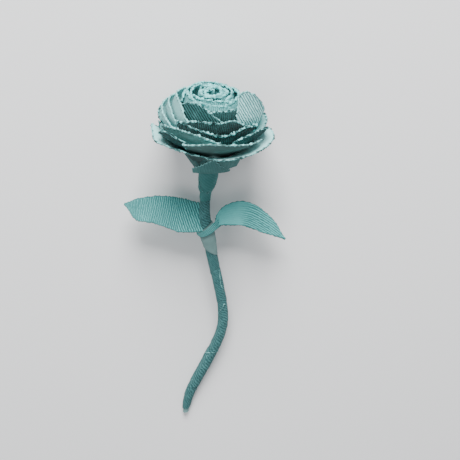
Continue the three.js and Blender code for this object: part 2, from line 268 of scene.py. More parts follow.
lift = maths(tone, "MULTIPLY", maths(tone, "SUBTRACT", patch, 0.45), 0.3, clamp=True)
rubbed = mix_colour(tone, lift, dye_and_groove_shade, tone_in.outputs["Torn edge"])
speck = maths(tone, "MULTIPLY", maths(tone, "SUBTRACT", tone_in.outputs["Crinkle"], 0.5), 0.5)
specks = maths(tone, "MULTIPLY", speck, rim_value.outputs["Fac"])
frayed = maths(tone, "ADD", rim_value.outputs["Fac"], specks, clamp=True)
final = mix_colour(tone, frayed, rubbed, tone_in.outputs["Torn edge"])
tone.links.new(final, tone_out.inputs["Color"])
matt = maths(tone, "ADD", 0.78, maths(tone, "MULTIPLY", patch, 0.2))
tone.links.new(matt, tone_out.inputs["Roughness"])
flat = maths(tone, "SUBTRACT", 1.0, maths(tone, "MULTIPLY", rim_value.outputs["Fac"], 0.8))
ribbing = maths(tone, "MULTIPLY", maths(tone, "MULTIPLY", tone_in.outputs["Height"], flat), strength)
relief = maths(tone, "ADD", ribbing, maths(tone, "MULTIPLY", tone_in.outputs["Crinkle"], 0.25))
tone.links.new(relief, tone_out.inputs["Relief"])
print("paper tone group has", len(tone.nodes), "nodes")

# %% [markdown]
# ## One crepe paper
# A paper is the two groups feeding one Principled shader: colour and roughness
# straight in, and the relief through a Bump node. Paper is matt, so its specular
# level is low, and a trace of sheen stands for the loose fibres. Each paper differs
# only in its colours, some of them painted light or shade, and in how strong, deep,
# wide and wavy its ribs are.

# %% Paper maker
SHEEN, SHEEN_ROUGHNESS, SPECULAR = 0.04, 0.6, 0.2


def crepe(name, dye, groove_shade, edge, rib_strength, relief=0.35, pitch=RIB_PITCH, waviness=0.22):
    paper = bpy.data.materials.new(name)
    paper.use_nodes = True
    tree = paper.node_tree
    body = tree.nodes["Principled BSDF"]
    pattern = tree.nodes.new("ShaderNodeGroup")
    pattern.node_tree = ribs
    pattern.inputs["Ribs per metre"].default_value = 1 / pitch
    pattern.inputs["Waviness"].default_value = waviness
    colour = tree.nodes.new("ShaderNodeGroup")
    colour.node_tree = tone
    colour.inputs["Dye"].default_value = (*dye, 1)
    colour.inputs["Groove shade"].default_value = (*groove_shade, 1)
    colour.inputs["Torn edge"].default_value = (*edge, 1)
    colour.inputs["Rib strength"].default_value = rib_strength
    tree.links.new(pattern.outputs["Height"], colour.inputs["Height"])
    tree.links.new(pattern.outputs["Crinkle"], colour.inputs["Crinkle"])
    tree.links.new(colour.outputs["Color"], body.inputs["Base Color"])
    tree.links.new(colour.outputs["Roughness"], body.inputs["Roughness"])
    bump = tree.nodes.new("ShaderNodeBump")
    bump.inputs["Strength"].default_value = 1.0
    bump.inputs["Distance"].default_value = relief * MM
    tree.links.new(colour.outputs["Relief"], bump.inputs["Height"])
    tree.links.new(bump.outputs["Normal"], body.inputs["Normal"])
    body.inputs["Sheen Weight"].default_value = SHEEN
    body.inputs["Sheen Roughness"].default_value = SHEEN_ROUGHNESS
    body.inputs["Specular IOR Level"].default_value = SPECULAR
    print(name, "has ribs", round(pitch / MM, 2), "mm apart")
    return paper


print("a paper's specular level is", SPECULAR)

# %% [markdown]
# ## The flower's papers
# One sheet of dyed crepe is drawn with lit and shaded copies from petal to petal:
# the pale copies are painted light where a petal faces the light, the deep copies are
# painted shade where it faces away or lies under others, and the inner faces are
# smooth. The three colours of each paper are its dye, the painted shade in the
# grooves between the ribs and the torn edge.

# %% Papers of the flower
EDGE = (0.27, 0.7, 0.69)
# Painted shade and light: the dark outside copies stand for the shade on the petals' outer faces, the
# pale inside copies and the bright outside copy for light on faces turned to it.
painted_shade_outside = crepe("painted_shade_outside", (0.022, 0.1, 0.097), (0.004, 0.028, 0.027), EDGE, 0.95, 0.45)
painted_deep_shade_outside = crepe("painted_deep_shade_outside", (0.013, 0.06, 0.058), (0.002, 0.013, 0.013), EDGE, 0.95, 0.45)
painted_light_outside = crepe("painted_light_outside", (0.48, 0.95, 0.94), (0.04, 0.22, 0.215), EDGE, 1.0, 0.45,
                     pitch=1.25 * MM)
petal_smooth = crepe("petal_smooth", (0.21, 0.46, 0.45), (0.14, 0.35, 0.34), EDGE, 0.12, 0.15)
painted_shade_smooth_outside = crepe("painted_shade_smooth_outside", (0.06, 0.14, 0.133), (0.035, 0.1, 0.095), EDGE, 0.2, 0.15)
painted_light_inside = crepe("painted_light_inside", (0.36, 0.72, 0.71), (0.2, 0.46, 0.45), EDGE, 0.15, 0.15)
# Painted light: a still paler copy lightens the guard petals' inner faces, which lie deep under the
# outer petals.
guard_face_painted_light = crepe("guard_face_painted_light", (0.42, 0.84, 0.83), (0.26, 0.64, 0.63), EDGE, 0.15, 0.15)
centre_paper = crepe("centre_paper", (0.18, 0.55, 0.54), (0.03, 0.17, 0.17), (0.24, 0.74, 0.73), 0.75)
print("torn edge of the petals:", EDGE)

# %% [markdown]
# ## The papers of leaves, stem and calyx
# The leaves are fully ribbed, the right one a little coarser. The stem's strip is
# stretched as it is wound, which makes its ribs wavy. The neck and the sepals show
# the darker, nearly smooth side of the paper, and the band is greyer and paler.

# %% Papers of the other parts
LEAF_FINE_PITCH, LEAF_COARSE_PITCH = 1.0, 1.35
LEAF_TONES = (0.18, 0.6, 0.59), (0.02, 0.13, 0.13), (0.05, 0.2, 0.2), 1.0, 0.45
leaf_fine = crepe("leaf_fine", *LEAF_TONES, pitch=LEAF_FINE_PITCH * MM)
leaf_coarse = crepe("leaf_coarse", (0.12, 0.47, 0.46), *LEAF_TONES[1:], pitch=LEAF_COARSE_PITCH * MM)
stem_paper = crepe("stem_paper", (0.066, 0.2, 0.205), (0.015, 0.07, 0.071), (0.2, 0.5, 0.49), 0.9, 0.4,
                   pitch=1.2 * MM, waviness=0.4)
neck_paper = crepe("neck_paper", (0.05, 0.18, 0.175), (0.02, 0.09, 0.09), (0.24, 0.52, 0.51), 0.35, 0.25)
calyx_paper = crepe("calyx_paper", (0.06, 0.18, 0.175), (0.025, 0.1, 0.1), (0.25, 0.55, 0.54), 0.3)
band_paper = crepe("band_paper", (0.14, 0.245, 0.24), (0.1, 0.19, 0.185), (0.45, 0.68, 0.67), 0.2, 0.15)
# Painted shade: a darker copy of the calyx paper for the sepal that faces away from the light.
calyx_painted_shade = crepe("calyx_painted_shade", (0.03, 0.1, 0.098), (0.015, 0.06, 0.058), (0.2, 0.48, 0.47), 0.3)
print("leaf ribs:", LEAF_FINE_PITCH, "and", LEAF_COARSE_PITCH, "mm apart")

# %% [markdown]
# ## Curves through places
# The stem, the leaves and the torn edges all follow lines through a few places. A
# Catmull-Rom curve goes through every place and bends softly in between, and its
# centripetal kind never loops where two places are close together. The CAD model
# uses the same kind, so the lines of both agree.

# %% Curve helpers
def lerp(a, b, k):
    return a + (b - a) * k


def smooth(x):
    x = min(max(x, 0.0), 1.0)
    return x * x * (3 - 2 * x)


def curve_between(p0, p1, p2, p3, k):
    """A point on the centripetal Catmull-Rom curve from p1 to p2."""
    d0, d1, d2 = ((b - a).length ** 0.5 for a, b in ((p0, p1), (p1, p2), (p2, p3)))
    m1 = ((p1 - p0) / d0 - (p2 - p0) / (d0 + d1) + (p2 - p1) / d1) * d1
    m2 = ((p2 - p1) / d1 - (p3 - p1) / (d1 + d2) + (p3 - p2) / d2) * d1
    return (p1 + m1 * k + (-3 * p1 + 3 * p2 - 2 * m1 - m2) * k * k
            + (2 * p1 - 2 * p2 + m1 + m2) * k ** 3)


def curve_at(points, k):
    """A point at share k of an open curve through the points."""
    ends = [2 * points[0] - points[1], *points, 2 * points[-1] - points[-2]]
    i = min(int(k * (len(points) - 1)), len(points) - 2)
    return curve_between(*ends[i:i + 4], k * (len(points) - 1) - i)


print("half way from 0 to 1 is", lerp(0, 1, 0.5), "and softened", smooth(0.5))

# %% [markdown]
# ## The stem's line
# The stem holds its bends because a wire runs in it. Its middle line goes through
# a few places read off the photograph, each a sideways place and a share of the
# height. Near the top it also leans a little to the front, as a heavy flower does.

# %% Stem line
STEM_LENGTH = 160
FOOT_Z = 8.5
CALYX_Z = FOOT_Z + STEM_LENGTH
STEM_PLACES = [
    (-27.5, 0), (-26.6, 0.045), (-24.6, 0.09), (-21.6, 0.135), (-17.0, 0.195),
    (-12.4, 0.258), (-8.2, 0.315), (-5.2, 0.37), (-4.1, 0.43), (-4.7, 0.49),
    (-6.6, 0.56), (-8.6, 0.625), (-10.5, 0.685), (-12.1, 0.74), (-13.5, 0.79),
    (-14.2, 0.845), (-13.8, 0.91), (-12.6, 0.965), (-11.5, 1.02), (-10.9, 1.07),
    (-10.2, 1.12),
]


def stem_points(steps=400):
    places = [Vector((x, -14 * max(0, share - 0.84) ** 1.5, FOOT_Z + share * STEM_LENGTH))
              for x, share in STEM_PLACES]
    return [curve_at(places, k / steps) for k in range(steps + 1)]


STEM = stem_points()


def stem_at(height):
    """Middle and direction of the stem at a height."""
    high = next((i for i, p in enumerate(STEM) if p.z > height), len(STEM) - 1)
    high = max(high, 1)
    low, top = STEM[high - 1], STEM[high]
    share = (height - low.z) / (top.z - low.z)
    before, after = STEM[max(high - 4, 0)], STEM[min(high + 4, len(STEM) - 1)]
    return low.lerp(top, share), (after - before).normalized()


print("stem line has", len(STEM), "points, calyx at", tuple(round(c, 1) for c in stem_at(CALYX_Z)[0]))

# %% [markdown]
# ## The flower's shells
# Real petals are glued one over the other and never pass through each other. The
# flower is therefore planned in shells: number 0 is a nearly straight side view in
# the middle, number 1 opens wide like the lowest petals. Each shell is a cubic
# Bezier curve whose four pull points change smoothly with the shell's number. The
# whole flower leans three degrees to the right and eight to the front.

# %% Flower frame and shells
flower_up = Vector((math.sin(math.radians(3)), -math.sin(math.radians(8)), 0))
flower_up.z = math.sqrt(1 - flower_up.length_squared)
flower_right = Vector((0, 1, 0)).cross(flower_up).normalized()
flower_back = flower_up.cross(flower_right)
flower_base = stem_at(CALYX_Z)[0]

PULL_RADIUS = [(1.6, 4.2, 7.6), (1.8, 8.5, 13.2), (2.0, 22.5, 28), (2.2, 18, 35.5)]
PULL_HEIGHT = [(10, 7.5, 5.6), (20, 20, 19.5), (34, 32.5, 26), (48, 45, 28.5)]


def shell_value(v, s):
    return v[0] * (1 - s) * (1 - 2 * s) + v[1] * 4 * s * (1 - s) + v[2] * s * (2 * s - 1)


def side_view(s, t):
    """Radius and height of shell s at share t of its length; above 1 it goes on straight."""
    k = min(t, 1)
    past = 3 * max(0, t - 1)
    weights = ((1 - k) ** 3, 3 * k * (1 - k) ** 2, 3 * k * k * (1 - k) - past, k ** 3 + past)
    return (sum(w * shell_value(p, s) for w, p in zip(weights, PULL_RADIUS)),
            sum(w * shell_value(p, s) for w, p in zip(weights, PULL_HEIGHT)))


def shell_step(s, t, e=0.001):
    """Millimetres between shells per shell number, square to the side view."""
    r, z = side_view(s, t)
    rt, zt = side_view(s, t + e)
    rs, zs = side_view(s + e, t)
    return abs((rs - r) * (zt - z) - (zs - z) * (rt - r)) / math.hypot(rt - r, zt - z) / e


def in_flower(radius, azimuth, height):
    return (flower_base + flower_right * (radius * math.cos(azimuth))
            + flower_back * (radius * math.sin(azimuth)) + flower_up * height)


print("shell 0.5 ends at", [round(v, 1) for v in side_view(0.5, 1)])

# %% [markdown]
# ## Forming a sheet
# Every piece of paper starts as a flat grid from bmesh, like a cut blank, and its
# vertices are then moved to where the paper is bent. The rows are packed closer
# towards the top, where the torn edge needs them. The paper map remembers where each
# vertex was on the flat blank, so that the ribs follow every bend.

# %% Sheet helpers
MAP_UNITS_PER_MM = 0.01


def between(stations, share, soft=True):
    """A value at evenly spaced stations, read off between them."""
    x = min(max(share, 0.0), 1.0) * (len(stations) - 1)
    i = min(int(x), len(stations) - 2)
    f = x - i
    b, c = stations[i], stations[i + 1]
    if not soft:
        return lerp(b, c, f)
    a = stations[max(i - 1, 0)]
    d = stations[min(i + 2, len(stations) - 1)]
    m1, m2 = (c - a) / 2, (d - b) / 2
    return (b * (2 * f ** 3 - 3 * f * f + 1) + m1 * (f ** 3 - 2 * f * f + f)
            + c * (3 * f * f - 2 * f ** 3) + m2 * (f ** 3 - f * f))


def ripple(x, y, seed, size=1.0):
    """Soft noise from -1 to 1 that repeats for the same numbers."""
    return noise.noise(Vector((x / size, y / size, seed * 7.31)))


def grid_sheet(bm, columns, rows, form, paper_map, pack=1.0):
    """Adds a grid to bm, moves it with form(u, v), and writes the paper map and rim."""
    uv = bm.loops.layers.uv.get("paper") or bm.loops.layers.uv.new("paper")
    rim = bm.verts.layers.float.get("rim") or bm.verts.layers.float.new("rim")
    flattened = bm.verts.layers.float.get("flattened") or bm.verts.layers.float.new("flattened")
    made = bmesh.ops.create_grid(bm, x_segments=columns, y_segments=rows, size=1)["verts"]
    places = {}
    for vert in made:
        u, v = vert.co.x, (vert.co.y + 1) / 2
        v = 1 - (1 - v) ** pack
        x, y, vert[rim], *plain = paper_map(u, v)
        places[vert] = (x, y)
        vert[flattened] = plain[0] if plain else 0
        vert.co = form(u, v)
    for face in {f for vert in made for f in vert.link_faces}:
        face.smooth = True
        for loop in face.loops:
            loop[uv].uv = [c * MAP_UNITS_PER_MM for c in places[loop.vert]]
    return made


print("half way between 1 and 3 stands", between([1, 3], 0.5))

# %% [markdown]
# ## From a sheet to a piece
# A formed sheet is laid down on the floor with the matrix from the start and becomes
# an object. The Solidify modifier gives the paper its thickness, with a second
# material for the smooth inner face. Each piece then says which body it rides on
# and which CAD piece it stands for.

# %% Piece helpers
PAPER = 0.5


def hand_over(piece, node, stands_for=True):
    """Makes a piece ride on the rose and replace its node."""
    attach(piece, "root")
    if stands_for:
        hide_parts(node)


def paper_piece(name, node, bm, papers, thickness=0.0, stands_for=True):
    """Lays a formed bmesh down and makes it a piece of the rose."""
    for vert in bm.verts:
        vert.co = lay(vert.co)
    mesh = bpy.data.meshes.new(name)
    bm.to_mesh(mesh)
    bm.free()
    for paper in papers:
        mesh.materials.append(paper)
    piece = bpy.data.objects.new(name, mesh)
    bpy.context.collection.objects.link(piece)
    if thickness:
        body = piece.modifiers.new("paper thickness", "SOLIDIFY")
        body.thickness = thickness * MM
        body.offset = 0
        body.material_offset = len(papers) - 1
    hand_over(piece, node, stands_for)


print("paper is", PAPER, "mm thick")

# %% [markdown]
# ## The torn edge
# Along its edges the crepe is torn and rolled between the fingers, which leaves a
# pale, lumpy bead about a millimetre thick. The bead is a second, narrow grid bent
# into a tube that follows the sheet's outline, with noise on its thickness. It
# tapers at both ends, and its flecks of dye come from the same kind of noise.

# %% Bead along an edge
THINNEST_BEAD = 0.12


def bead(bm, path, steps, radius, seed, around=7, lump=0.9):
    """A lumpy tube through path(q), q from 0 to 1, its rim value mostly 1 and flecked lower by noise."""
    line = [path(k / steps) for k in range(steps + 1)]
    run = [0.0]
    for a, b in zip(line, line[1:]):
        run.append(run[-1] + (b - a).length)

    def form(u, v):
        k = v * steps
        i = min(int(k), steps - 1)
        middle = line[i].lerp(line[i + 1], k - i)
        along = (line[min(i + 2, steps)] - line[max(i - 1, 0)]).normalized()
        side = along.cross(flower_up)
        side = side.normalized() if side.length > 0.2 else along.orthogonal().normalized()
        over = side.cross(along)
        angle = math.pi * (u + 1)
        length = lerp(run[i], run[i + 1], k - i)
        thick = radius * (0.85 + lump * ripple(length, angle * 0.3, seed, 0.7)
                          + lump * ripple(length, 0, seed + 3, 1.9))
        thick = max(thick, THINNEST_BEAD)
        thick *= smooth(v * steps / 6) * smooth((1 - v) * steps / 6) * 0.8 + 0.2
        shift = Vector((ripple(length, 1, seed, 1.3), ripple(length, 2, seed, 1.3),
                        ripple(length, 3, seed, 1.3))) * 0.4
        return middle + shift + (side * math.cos(angle) + over * math.sin(angle)) * thick

    def torn(u, v):
        length = v * run[-1]
        fleck = ripple(length, u * 0.6, seed + 5, 0.9) + 0.6 * ripple(length, u, seed + 6, 2.3)
        return u * 2, length, min(max(0.42 + 1.9 * fleck, 0.0), 1)

    made = grid_sheet(bm, around, steps, form, torn)
    bmesh.ops.remove_doubles(bm, verts=made, dist=0.004)


print("a torn edge is at least", 2 * THINNEST_BEAD, "mm thick")

# %% [markdown]
# ## A petal's form
# A petal is planned with the side it faces, half its width in degrees, the shells
# at its two edges and the height of its torn edge at even stations. It may also
# have a lean, which moves its torn edge out or in by a part of a shell. Nearly the
# same plan made the CAD piece, so both lie in one place, and only a few edges were
# moved by some millimetres here, to follow the photograph more closely.

# %% Petal form
WOBBLE = 0.35


def petal_form(plan, seed):
    at, half, shells, rim = plan["at"], plan["half"], plan["shell"], plan["rim"]
    low, foot = plan.get("low", 0.02), plan.get("foot", 0.5)

    def form(u, v):
        share = (u + 1) / 2
        top = between(rim, share)
        top += 0.008 * ripple(share * 40, 0, seed) + 0.006 * ripple(share * 90, 5, seed)
        t = lerp(low, top, v)
        width = lerp(foot, 1, smooth(v * 1.5))
        azimuth = math.radians(at + u * half * width)
        s = lerp(*shells, share)
        free = smooth((v - 0.5) / 0.5)
        s += WOBBLE * free * ripple(share * 5, v * 2, seed) / shell_step(s, t)
        s += between(plan.get("lean", [0, 0]), share) * v
        r, z = side_view(s, t)
        return in_flower(r, azimuth, z)

    return form


print("petals are uneven by up to", WOBBLE, "mm")

# %% [markdown]
# ## Making a petal
# The petal's sheet is a fine grid, and its torn edge is a bead that starts on one
# side, runs over the top and ends on the other side. Ribs run up the petal, turned
# by an angle where the photograph shows them slanting. Two petals are cut on the
# bias: their ribs stay parallel up to the edge, as on a flat piece of paper.

# %% Petal maker
BIAS_CUT = ("wrap_petal_right", "wrap_petal_left_front")
PETAL_COLUMNS, PETAL_ROWS = 84, 26
EDGE_STARTS = 0.45
BEAD, BUD_BEAD = 0.5, 0.72
BEAD_STEPS_PER_MM = 2.2


def petal(name, plan, seed, outside, inside, ribs_at=0):
    form = petal_form(plan, seed)
    middle = [form(u / 10, 0.85) for u in range(-10, 11)]
    breadth = sum((b - a).length for a, b in zip(middle, middle[1:]))
    spine = [form(0, v / 10) for v in range(11)]
    height = sum((b - a).length for a, b in zip(spine, spine[1:]))
    c, s = math.cos(math.radians(ribs_at)), math.sin(math.radians(ribs_at))

    def paper_map(u, v):
        x, y = u * breadth / 2, v * height
        near = min((1 - v) * height, (1 - abs(u)) * breadth / 2 + (0 if v > 0.4 else 2))
        torn = (1 - smooth(near / 0.7)) * min(max(0.5 + 1.6 * ripple(x, y * 0.3, seed, 1.1), 0), 1)
        if name in BIAS_CUT:
            place = form(u, v)
            x, y = place.x, place.z * 0.9 + place.y * 0.44
        return x * c + y * s + seed * 3, y * c - x * s, torn

    bm = bmesh.new()
    grid_sheet(bm, PETAL_COLUMNS, PETAL_ROWS, form, paper_map, pack=1.5)
    paper_piece(name + "_sheet", name, bm, [outside, inside], PAPER)

    def outline(q):
        if q < 0.25:
            return form(-1, lerp(EDGE_STARTS, 1, q * 4))
        if q > 0.75:
            return form(1, lerp(1, EDGE_STARTS, q * 4 - 3))
        return form(q * 4 - 2, 1)

    edge = bmesh.new()
    steps = int((breadth + height) * BEAD_STEPS_PER_MM)
    bead(edge, outline, steps, plan.get("bead", BEAD), seed)
    paper_piece(name + "_torn_edge", name, edge, [outside], stands_for=False)


print("a petal's sheet has", PETAL_COLUMNS * PETAL_ROWS, "faces")

# %% [markdown]
# ## The bud
# Twenty-seven petals stand round the rolled centre. The first six make the bud. They
# stand nearly upright on narrow shells, each one overlaps the next, and their torn
# edges are thick, because they were rolled between the fingers.

# %% Plans of the bud petals
PETALS = {
    f"inner_petal_{number + 1}": dict(
        at=at, half=72, shell=(0.25, 0.315), rim=[1, 1.03, 1.04, 1.03, 1], low=0.2, bead=BUD_BEAD)
    for number, at in enumerate((-95, 25, 145))
}
PETALS |= {
    "ring_petal_1": dict(
        at=-122, half=70, shell=(0.365, 0.41), rim=[1.02, 1.06, 1.05, 1.04, 1.02], low=0.12,
        bead=BUD_BEAD),
    "ring_petal_2": dict(
        at=-4, half=68, shell=(0.365, 0.41), rim=[1, 1.03, 1.04, 1.04, 1], low=0.12,
        bead=BUD_BEAD),
    "ring_petal_3": dict(
        at=116, half=68, shell=(0.365, 0.41), rim=[1, 1.04, 1.05, 1.04, 1], low=0.12,
        bead=BUD_BEAD),
}
print("bud petals planned:", len(PETALS))

# %% [markdown]
# ## The petals that close round the bud
# The wrap petals close round the bud, and the mid petals begin to open. The right
# wrap petal leans far out from its shell and shows its ribs.

# %% Plans of the wrap and mid petals
PETALS |= {
    "wrap_petal_front": dict(
        at=-60, half=52, shell=(0.47, 0.48), rim=[1, 1.03, 1.02, 1.02, 1], low=0.1),
    "wrap_petal_left_front": dict(
        at=-112, half=46, shell=(0.53, 0.54), rim=[1, 1.12, 1.16, 1.05, 0.89]),
    "wrap_petal_left": dict(
        at=180, half=63, shell=(0.51, 0.61), rim=[0.95, 1.05, 1.12, 1.15, 0.93]),
    "wrap_petal_right": dict(
        at=-5, half=42, shell=(0.53, 0.86), foot=0.4,
        rim=[0.98, 1.3, 1.43, 1.42, 1.3, 1.12, 1.04, 1.03, 1], lean=[0, 0.0375, 0.05, 0.0375, 0]),
    "wrap_petal_back": dict(
        at=78, half=36, shell=(0.5, 0.5), rim=[0.91, 1.02, 1.04, 1.02, 0.89]),
    "mid_petal_front": dict(
        at=-84, half=51, bead=0.56, shell=(0.655, 0.635), rim=[0.93, 1.05, 1.04, 1.04, 0.86]),
    "mid_petal_left": dict(
        at=172, half=50, shell=(0.64, 0.665), rim=[0.91, 1, 1.07, 1.1, 0.94]),
    "mid_petal_back": dict(
        at=92, half=42, shell=(0.62, 0.57), rim=[0.88, 1, 1.03, 1, 0.89]),
}
print("petals planned so far:", len(PETALS))

# %% [markdown]
# ## The open petals
# The full, outer and guard petals open wider from layer to layer, and the guard
# petals lie nearly flat below the flower. The rose rests on the two at the back.

# %% Plans of the full, outer and guard petals
PETALS |= {
    "full_petal_front": dict(
        at=-74, half=57, bead=0.66, shell=(0.74, 0.72), rim=[1.11, 1.04, 0.93, 1, 0.88]),
    "full_petal_left": dict(
        at=-180, half=44, shell=(0.725, 0.75), rim=[0.88, 1.03, 1.06, 1.04, 0.94]),
    "full_petal_back": dict(
        at=90, half=41, shell=(0.71, 0.73), rim=[0.88, 1, 1.03, 1, 0.88]),
    "full_petal_left_front": dict(
        at=-117, half=38, shell=(0.81, 0.82), rim=[0.97, 1.1, 1.15, 1.11, 0.93]),
    "full_petal_right": dict(
        at=-12, half=51, bead=0.62, shell=(0.81, 0.935),
        rim=[0.93, 1.03, 1.12, 1.14, 0.97, 0.84, 0.92, 0.96, 0.88]),
    "outer_petal_front": dict(
        at=-71, half=42, shell=(0.91, 0.905), rim=[1.14, 1.37, 1.28, 1.08, 0.89], foot=0.35),
    "outer_petal_left": dict(
        at=-148, half=38, shell=(0.885, 0.885), foot=0.35,
        rim=[0.8, 0.74, 0.73, 0.78, 0.95, 1.18, 1.3, 1.19, 1.05]),
    "outer_petal_back_left": dict(
        at=148, half=34, shell=(0.835, 0.81), rim=[0.75, 0.87, 0.93, 0.97, 0.87], foot=0.35),
    "outer_petal_back_right": dict(
        at=82, half=39, shell=(0.91, 0.9), rim=[0.86, 0.92, 0.83, 0.79, 0.74], foot=0.35),
    "guard_petal_left": dict(
        at=-136, half=48, shell=(0.98, 1), foot=0.3,
        rim=[0.86, 0.84, 0.87, 0.94, 0.98, 0.98, 0.96, 0.91, 0.86],
        lean=[0, 0, 0, -0.004, -0.02, -0.036, -0.038, -0.028, -0.01]),
    "guard_petal_right": dict(
        at=-38, half=47, shell=(1, 1), rim=[1, 0.95, 0.93, 0.96, 0.88], foot=0.3),
    "guard_petal_back_left": dict(
        at=124, half=34, shell=(0.99, 1), rim=[0.61, 0.89, 1, 0.89, 0.73], foot=0.3),
    "guard_petal_back_right": dict(
        at=56, half=33, shell=(1, 1), rim=[0.73, 0.89, 1, 0.88, 0.6], foot=0.3),
}
print("petals planned:", len(PETALS))

# %% [markdown]
# ## All the petals
# Most petals take a dark copy of the paper outside, as painted shade, and a pale one
# inside, as painted light. A few are named with another outer paper: a paler copy as
# painted light, deeper copies as painted shade, or the smooth side turned out, and a
# few with the angle of their ribs. Each petal's number is also the seed of its noise.

# %% Petals
RIBS_AT = {
    "wrap_petal_right": 33, "wrap_petal_left_front": 30, "mid_petal_front": 10,
    "outer_petal_front": -12, "outer_petal_left": 15, "full_petal_front": 12,
}
# Painted light on the right wrap petal and painted shade on the front petals, chosen by outer paper.
OUTSIDES = {
    "wrap_petal_right": painted_light_outside,
    "wrap_petal_left": petal_smooth, "mid_petal_left": petal_smooth, "full_petal_left": petal_smooth,
    "mid_petal_front": painted_deep_shade_outside, "full_petal_front": painted_deep_shade_outside,
    "outer_petal_front": painted_shade_smooth_outside, "full_petal_left_front": painted_shade_smooth_outside,
}


def petal_papers(name):
    if name.startswith(("inner", "ring")):
        return centre_paper, centre_paper
    # The inner faces take pale copies of the paper as painted light.
    inside = guard_face_painted_light if name.startswith("guard") else painted_light_inside
    return OUTSIDES.get(name, painted_shade_outside), inside


for number, (name, plan) in enumerate(PETALS.items()):
    petal(name, plan, number + 1, *petal_papers(name), RIBS_AT.get(name, 0))
print("petals made:", len(PETALS))

# %% [markdown]
# ## The rolled centre
# The heart of the flower is one strip rolled up on itself, and its torn top edge is
# what the eye sees: pale, thick and wavy. The strip is one long sheet wound in a
# spiral through the innermost shells, with a bead along its top.

# %% Rolled centre
ROLL_TURNS = 2.2
ROLL_STARTS_AT = 65
ROLL_LENGTH, ROLL_HEIGHT = 70, 25
ROLL_BEAD = 1.1


def roll_form(u, v):
    run = (u + 1) / 2
    t = lerp(0.3, 1.02 + 0.015 * math.sin(19 * run) + 0.008 * ripple(run * 60, 0, 3), v)
    s = lerp(0.012, 0.222, run)
    r, z = side_view(s, t)
    return in_flower(r, math.radians(ROLL_STARTS_AT) + run * ROLL_TURNS * 2 * math.pi, z)


def roll_map(u, v):
    return u * ROLL_LENGTH / 2, v * ROLL_HEIGHT, 1 - smooth((1 - v) * ROLL_HEIGHT / 0.9)


roll = bmesh.new()
grid_sheet(roll, 200, 16, roll_form, roll_map, pack=1.5)
paper_piece("centre_roll_sheet", "centre_roll", roll, [centre_paper], PAPER)
roll_edge = bmesh.new()
bead(roll_edge, lambda q: roll_form(q * 2 - 1, 1), 240, ROLL_BEAD, 41, around=11)
paper_piece("centre_roll_torn_edge", "centre_roll", roll_edge, [centre_paper], stands_for=False)
print("centre roll: turns", ROLL_TURNS)

# %% [markdown]
# ## The front sepals
# Five short sepals, cut with a serrated edge from the darker side of the paper, close
# the flower from below. The front one is a broad triangle over its two neighbours,
# with a straight hem that stands off the neck. Those three don't follow the shells,
# so they are planned with a row of places along the hem and one along the upper edge.

# %% Places of the front sepals
SEPALS = {
    1: ([(-20.3, -3, 170.1), (-16.3, -8, 171.9), (-11.6, -9.5, 172.4),
         (-7, -8.5, 172.1), (-3, -3.5, 170.5), (-0.3, -1, 170.2)],
        [(-20.6, -3, 172.7), (-16.6, -11, 177.4), (-12.8, -15.2, 181),
         (-8.7, -17, 184), (-5.1, -12, 177.9), (0, -1, 171.2)]),
    2: ([(-4.8, -11, 177.2), (-2.2, -5, 172.9), (3.5, -3, 174.1)],
        [(-6.6, -17, 183.3), (-1.1, -14, 182.7), (6, -5, 179.7)]),
    5: ([(-18.9, -2.5, 172.5), (-17.3, -9, 176.1), (-13.3, -14.6, 180.5)],
        [(-25.2, -2.5, 182), (-19.1, -14, 184.7), (-10.6, -17.4, 184.2)]),
}
print("sepals planned with places:", len(SEPALS))

# %% [markdown]
# ## All the sepals
# The front three are drawn between their two rows of places, with a slight swell.
# The two at the back follow shells just outside the last petals. All five get small
# teeth along the upper edge, and a thin bead where they were cut.

# %% Sepals
SEPAL_COUNT = 5
FRONT_TEETH, SIDE_TEETH = 34, 16
TOOTH, SWELL = 0.7, 0.5
BACK_SHELLS = (1.12, 1.17)
SEPAL_BEAD = 0.24


def sepal(number):
    name = f"sepal_{number}"
    waves = FRONT_TEETH if number == 1 else SIDE_TEETH

    def form(u, v):
        share = (u + 1) / 2
        teeth = abs(math.sin(share * waves)) * (1 - abs(u) ** 6)
        if number in SEPALS:
            low, high = ([Vector(p) for p in row] for row in SEPALS[number])
            place = Vector(between(low, share, False)).lerp(Vector(between(high, share, False)), v)
            outward = (place - flower_base) * Vector((1, 1, 0))
            swell = SWELL * math.sin(math.pi * v) * (1 - u * u)
            return place + outward.normalized() * swell - Vector((0, 0, TOOTH * teeth * v))
        t = lerp(-0.02, between([0.16, 0.46, 0.66, 0.46, 0.16], share, False) - 0.02 * teeth, v)
        azimuth = math.radians(-92 + (number - 1) * 360 / SEPAL_COUNT + u * 34)
        r, z = side_view(lerp(*BACK_SHELLS, share), t)
        return in_flower(r, azimuth, z)

    def paper_map(u, v):
        return u * 10 + number * 5, v * 10, 1 - smooth((1 - v) * 10 / 0.7)

    bm = bmesh.new()
    grid_sheet(bm, 90, 20, form, paper_map, pack=1.4)
    # Sepal 5 takes the darker copy of the calyx paper as painted shade.
    paper_piece(name + "_sheet", name, bm, [calyx_painted_shade if number == 5 else calyx_paper], PAPER)
    edge = bmesh.new()
    bead(edge, lambda q: form(q * 2 - 1, 1), 120, SEPAL_BEAD, 50 + number)
    paper_piece(name + "_cut_edge", name, edge, [calyx_paper], stands_for=False)


for number in range(1, SEPAL_COUNT + 1):
    sepal(number)
print("sepals made:", SEPAL_COUNT)

# %% [markdown]
# ## The strip round the stem
# A long strip of crepe is wound round the stem, stretched and glued. Each length of
# it is planned with radii at shares of the height. The strip is wound at a slant,
# so each length also ends on a slanted line: the slants are shares of the height
# and the rise for each sideways millimetre.

